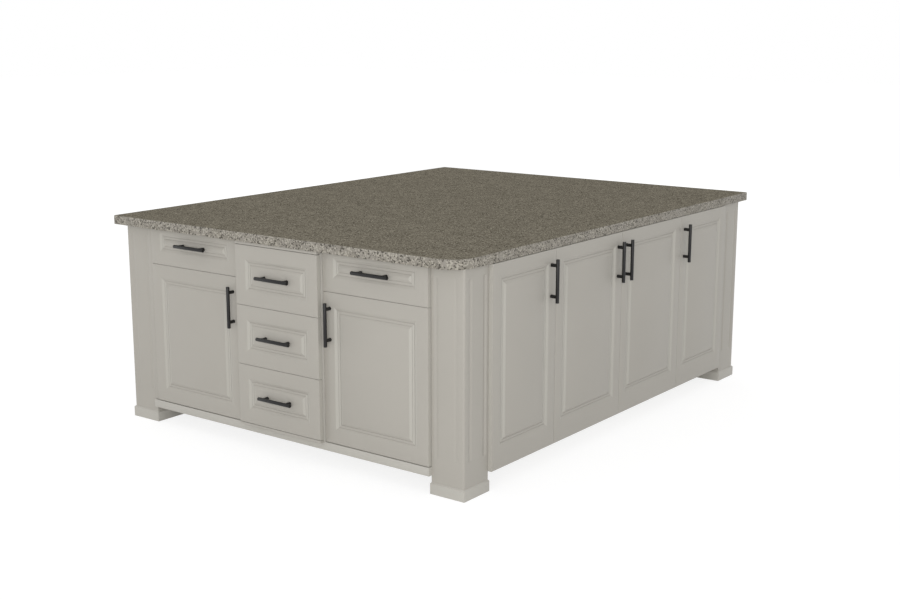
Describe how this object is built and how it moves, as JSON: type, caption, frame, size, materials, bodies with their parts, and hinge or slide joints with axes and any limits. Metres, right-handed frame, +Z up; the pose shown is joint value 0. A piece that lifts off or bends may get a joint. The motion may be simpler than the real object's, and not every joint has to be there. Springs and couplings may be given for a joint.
{
  "type": "kitchen island unit",
  "caption": "Painted kitchen island with a thick speckled stone worktop, square corner posts, panelled doors and drawers, and black bar pulls.",
  "frame": {"origin": "on the floor, under the middle of the whole unit's bounding box with everything closed", "axes": "+Z up; the front run with the drawers faces -Y; the side run with the four doors faces +X"},
  "size_m": [1.9042, 2.3972, 0.914],
  "materials": {
    "stone": "polished olive-grey granite with pale and dark flecks",
    "paint": "satin warm grey paint on wood and fibreboard",
    "carcass_board": "melamine-faced board, pale warm grey",
    "birch_ply": "lacquered birch plywood",
    "core_ply": "raw plywood",
    "steel": "zinc-plated steel",
    "black_metal": "satin black",
    "leg_plastic": "black moulded plastic"
  },
  "bodies": {
    "island": {"worktop": "stone", "post_near_right": "paint", "post_near_left": "paint", "post_far_right": "paint", "post_far_left": "paint", "foot_blocks": "paint", "carcass_left": "carcass_board", "carcass_stack": "carcass_board", "carcass_right": "carcass_board", "carcass_near": "carcass_board", "carcass_double": "carcass_board", "carcass_far": "carcass_board", "shelves": "carcass_board", "base_rail": "paint", "stack_rails": "paint", "fillers": "paint", "back_panel": "paint", "end_panel": "paint", "core_boards": "core_ply", "cabinet_legs": "leg_plastic", "runner_channels": "steel", "hinge_arms": "steel"},
    "drawer_left": {"drawer_left_front": "paint", "drawer_left_box": "birch_ply", "drawer_left_pull": "black_metal", "drawer_left_runners": "steel"},
    "drawer_right": {"drawer_right_front": "paint", "drawer_right_box": "birch_ply", "drawer_right_pull": "black_metal", "drawer_right_runners": "steel"},
    "drawer_top": {"drawer_top_front": "paint", "drawer_top_box": "birch_ply", "drawer_top_pull": "black_metal", "drawer_top_runners": "steel"},
    "drawer_middle": {"drawer_middle_front": "paint", "drawer_middle_box": "birch_ply", "drawer_middle_pull": "black_metal", "drawer_middle_runners": "steel"},
    "drawer_bottom": {"drawer_bottom_front": "paint", "drawer_bottom_box": "birch_ply", "drawer_bottom_pull": "black_metal", "drawer_bottom_runners": "steel"},
    "door_left": {"door_left": "paint", "door_left_pull": "black_metal", "door_left_cups": "steel"},
    "door_right": {"door_right": "paint", "door_right_pull": "black_metal", "door_right_cups": "steel"},
    "door_near": {"door_near": "paint", "door_near_pull": "black_metal", "door_near_cups": "steel"},
    "door_double_near": {"door_double_near": "paint", "door_double_near_pull": "black_metal", "door_double_near_cups": "steel"},
    "door_double_far": {"door_double_far": "paint", "door_double_far_pull": "black_metal", "door_double_far_cups": "steel"},
    "door_far": {"door_far": "paint", "door_far_pull": "black_metal", "door_far_cups": "steel"}
  },
  "joints": [
    {"name": "drawer_left_slide", "type": "slide", "parent": "island", "child": "drawer_left", "axis": [0, -1, 0], "range_m": [0, 0.38]},
    {"name": "drawer_right_slide", "type": "slide", "parent": "island", "child": "drawer_right", "axis": [0, -1, 0], "range_m": [0, 0.38]},
    {"name": "drawer_top_slide", "type": "slide", "parent": "island", "child": "drawer_top", "axis": [0, -1, 0], "range_m": [0, 0.38]},
    {"name": "drawer_middle_slide", "type": "slide", "parent": "island", "child": "drawer_middle", "axis": [0, -1, 0], "range_m": [0, 0.38]},
    {"name": "drawer_bottom_slide", "type": "slide", "parent": "island", "child": "drawer_bottom", "axis": [0, -1, 0], "range_m": [0, 0.38]},
    {"name": "door_left_hinge", "type": "hinge", "parent": "island", "child": "door_left", "pos_m": [-0.75812, -1.13438, 0.4135], "axis": [0, 0, -1], "range_deg": [0, 110]},
    {"name": "door_right_hinge", "type": "hinge", "parent": "island", "child": "door_right", "pos_m": [0.74688, -1.13438, 0.4135], "axis": [0, 0, 1], "range_deg": [0, 110]},
    {"name": "door_near_hinge", "type": "hinge", "parent": "island", "child": "door_near", "pos_m": [0.91588, -0.96563, 0.47625], "axis": [0, 0, -1], "range_deg": [0, 110]},
    {"name": "door_double_near_hinge", "type": "hinge", "parent": "island", "child": "door_double_near", "pos_m": [0.91588, -0.53463, 0.47625], "axis": [0, 0, -1], "range_deg": [0, 110]},
    {"name": "door_double_far_hinge", "type": "hinge", "parent": "island", "child": "door_double_far", "pos_m": [0.91588, 0.50587, 0.47625], "axis": [0, 0, 1], "range_deg": [0, 110]},
    {"name": "door_far_hinge", "type": "hinge", "parent": "island", "child": "door_far", "pos_m": [0.91588, 0.95687, 0.47625], "axis": [0, 0, 1], "range_deg": [0, 110]}
  ]
}
